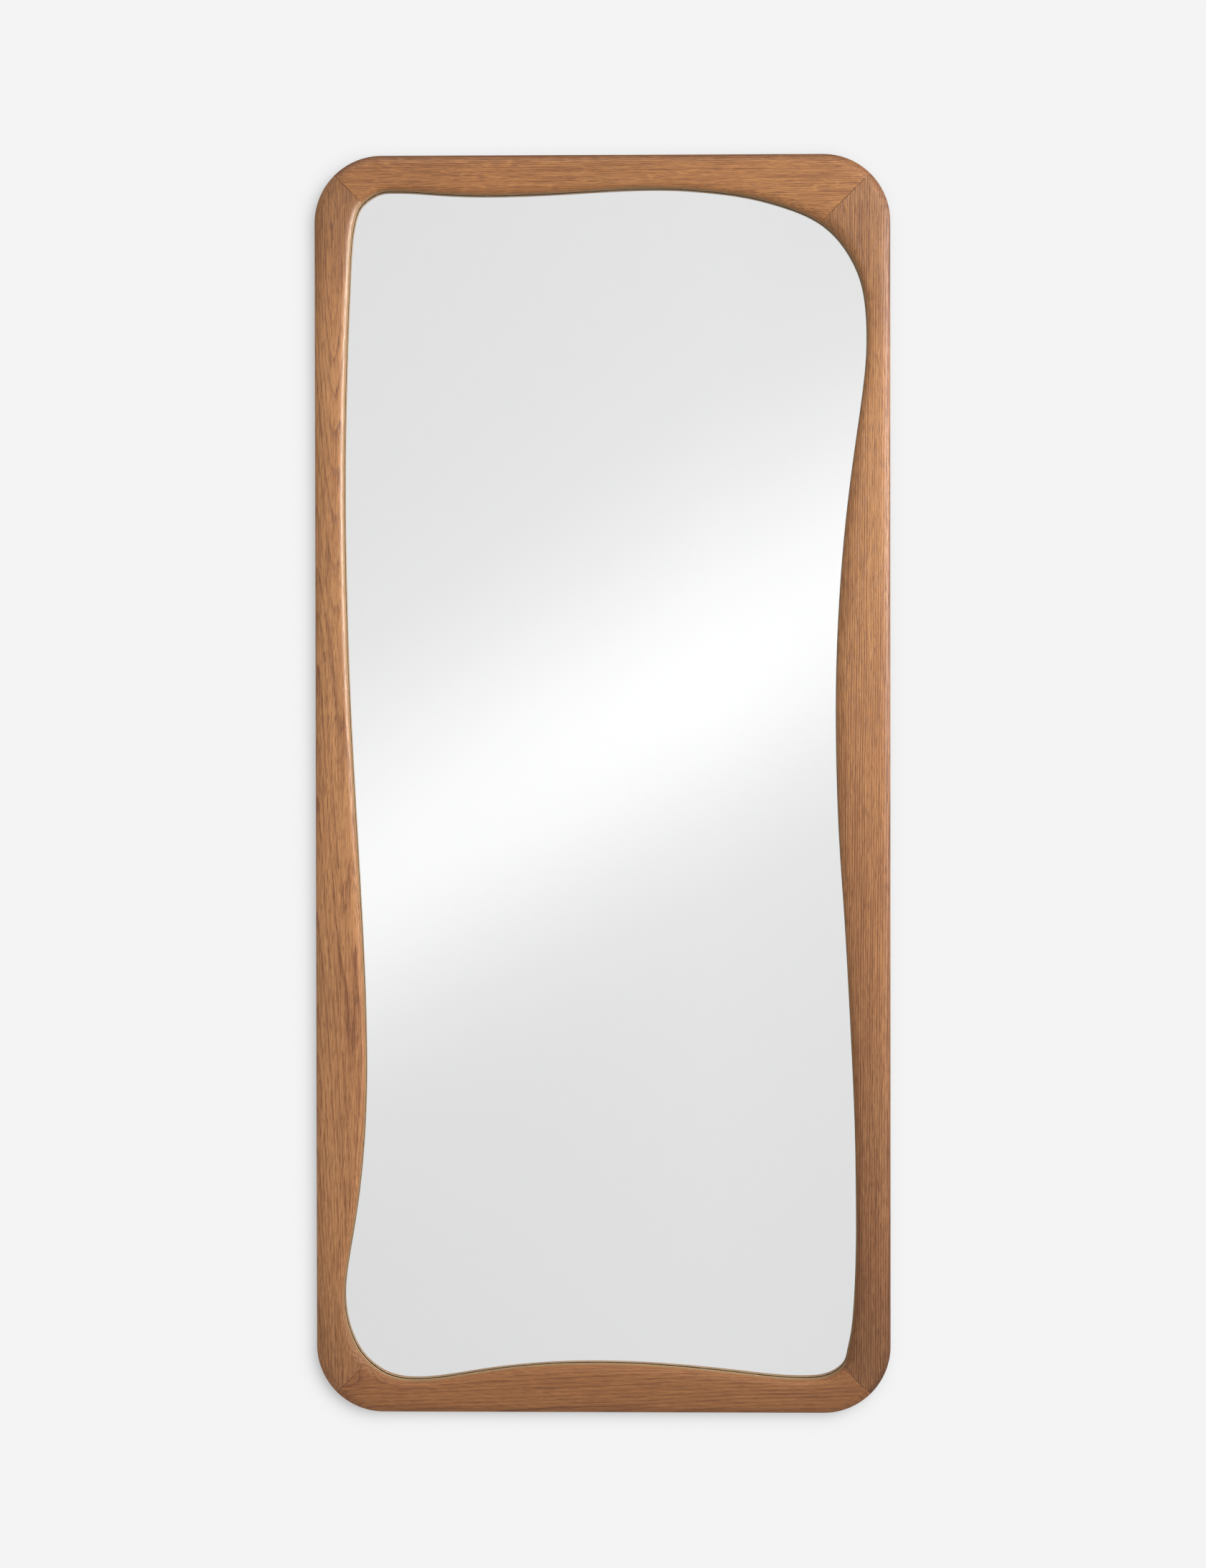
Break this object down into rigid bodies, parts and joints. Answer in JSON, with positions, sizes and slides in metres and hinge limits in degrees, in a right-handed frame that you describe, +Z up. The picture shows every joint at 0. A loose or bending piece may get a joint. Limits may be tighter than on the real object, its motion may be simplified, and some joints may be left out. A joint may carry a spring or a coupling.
{
  "type": "full-length wall mirror",
  "caption": "Full-length mirror in a carved oak frame with a straight outer edge and a wavy opening, hung flat on a wall by rings at the back.",
  "frame": {"origin": "centre of the back, in the plane of the back of the frame and of the backing board", "axes": "+Z up, +Y out of the back towards the wall, +X to the right as seen from the front; the mirror faces -Y"},
  "size_m": [0.8128, 0.0463, 1.778],
  "materials": {
    "oak": "satin",
    "tenon_wood": "matte",
    "mirror_glass": "polished",
    "mirror_silver": "polished",
    "corrugated_cardboard": "matte",
    "backing_board": "matte",
    "zinc_plated_steel": "satin",
    "rubber": "matte"
  },
  "bodies": {
    "mirror": {"top_rail": "oak", "right_stile": "oak", "bottom_rail": "oak", "left_stile": "oak", "tenon_top_left": "tenon_wood", "tenon_top_right": "tenon_wood", "tenon_bottom_right": "tenon_wood", "tenon_bottom_left": "tenon_wood", "mirror_glass": "mirror_glass", "mirror_silvering": "mirror_silver", "filler_sheet": "corrugated_cardboard", "backing_board": "backing_board", "button_screw_1": "zinc_plated_steel", "button_screw_2": "zinc_plated_steel", "button_screw_3": "zinc_plated_steel", "button_screw_4": "zinc_plated_steel", "button_screw_5": "zinc_plated_steel", "button_screw_6": "zinc_plated_steel", "button_screw_7": "zinc_plated_steel", "button_screw_8": "zinc_plated_steel", "hanger_strap_left": "zinc_plated_steel", "hanger_screw_left_1": "zinc_plated_steel", "hanger_screw_left_2": "zinc_plated_steel", "hanger_screw_left_3": "zinc_plated_steel", "hanger_strap_right": "zinc_plated_steel", "hanger_screw_right_1": "zinc_plated_steel", "hanger_screw_right_2": "zinc_plated_steel", "hanger_screw_right_3": "zinc_plated_steel", "bumper_1": "rubber", "bumper_2": "rubber", "bumper_3": "rubber", "bumper_4": "rubber"},
    "turn_button_1": {"turn_button_1": "zinc_plated_steel"},
    "turn_button_2": {"turn_button_2": "zinc_plated_steel"},
    "turn_button_3": {"turn_button_3": "zinc_plated_steel"},
    "turn_button_4": {"turn_button_4": "zinc_plated_steel"},
    "turn_button_5": {"turn_button_5": "zinc_plated_steel"},
    "turn_button_6": {"turn_button_6": "zinc_plated_steel"},
    "turn_button_7": {"turn_button_7": "zinc_plated_steel"},
    "turn_button_8": {"turn_button_8": "zinc_plated_steel"},
    "hanger_ring_left": {"hanger_ring_left": "zinc_plated_steel"},
    "hanger_ring_right": {"hanger_ring_right": "zinc_plated_steel"}
  },
  "joints": [
    {"name": "turn_button_1_turn", "type": "hinge", "parent": "mirror", "child": "turn_button_1", "pos_m": [-0.3954, 0.0003, 0.66], "axis": [0, 1, 0], "range_deg": [-90, 90]},
    {"name": "turn_button_2_turn", "type": "hinge", "parent": "mirror", "child": "turn_button_2", "pos_m": [-0.3954, 0.0003, 0], "axis": [0, 1, 0], "range_deg": [-90, 90]},
    {"name": "turn_button_3_turn", "type": "hinge", "parent": "mirror", "child": "turn_button_3", "pos_m": [-0.3954, 0.0003, -0.66], "axis": [0, 1, 0], "range_deg": [-90, 90]},
    {"name": "turn_button_4_turn", "type": "hinge", "parent": "mirror", "child": "turn_button_4", "pos_m": [0.3954, 0.0003, 0.66], "axis": [0, 1, 0], "range_deg": [-90, 90]},
    {"name": "turn_button_5_turn", "type": "hinge", "parent": "mirror", "child": "turn_button_5", "pos_m": [0.3954, 0.0003, 0], "axis": [0, 1, 0], "range_deg": [-90, 90]},
    {"name": "turn_button_6_turn", "type": "hinge", "parent": "mirror", "child": "turn_button_6", "pos_m": [0.3954, 0.0003, -0.66], "axis": [0, 1, 0], "range_deg": [-90, 90]},
    {"name": "turn_button_7_turn", "type": "hinge", "parent": "mirror", "child": "turn_button_7", "pos_m": [0, 0.0003, 0.878], "axis": [0, 1, 0], "range_deg": [-90, 90]},
    {"name": "turn_button_8_turn", "type": "hinge", "parent": "mirror", "child": "turn_button_8", "pos_m": [0, 0.0003, -0.878], "axis": [0, 1, 0], "range_deg": [-90, 90]},
    {"name": "hanger_ring_left_swing", "type": "hinge", "parent": "mirror", "child": "hanger_ring_left", "pos_m": [-0.3954, 0.0033, 0.48], "axis": [1, 0, 0], "range_deg": [0, 180]},
    {"name": "hanger_ring_right_swing", "type": "hinge", "parent": "mirror", "child": "hanger_ring_right", "pos_m": [0.3954, 0.0033, 0.48], "axis": [1, 0, 0], "range_deg": [0, 180]}
  ]
}
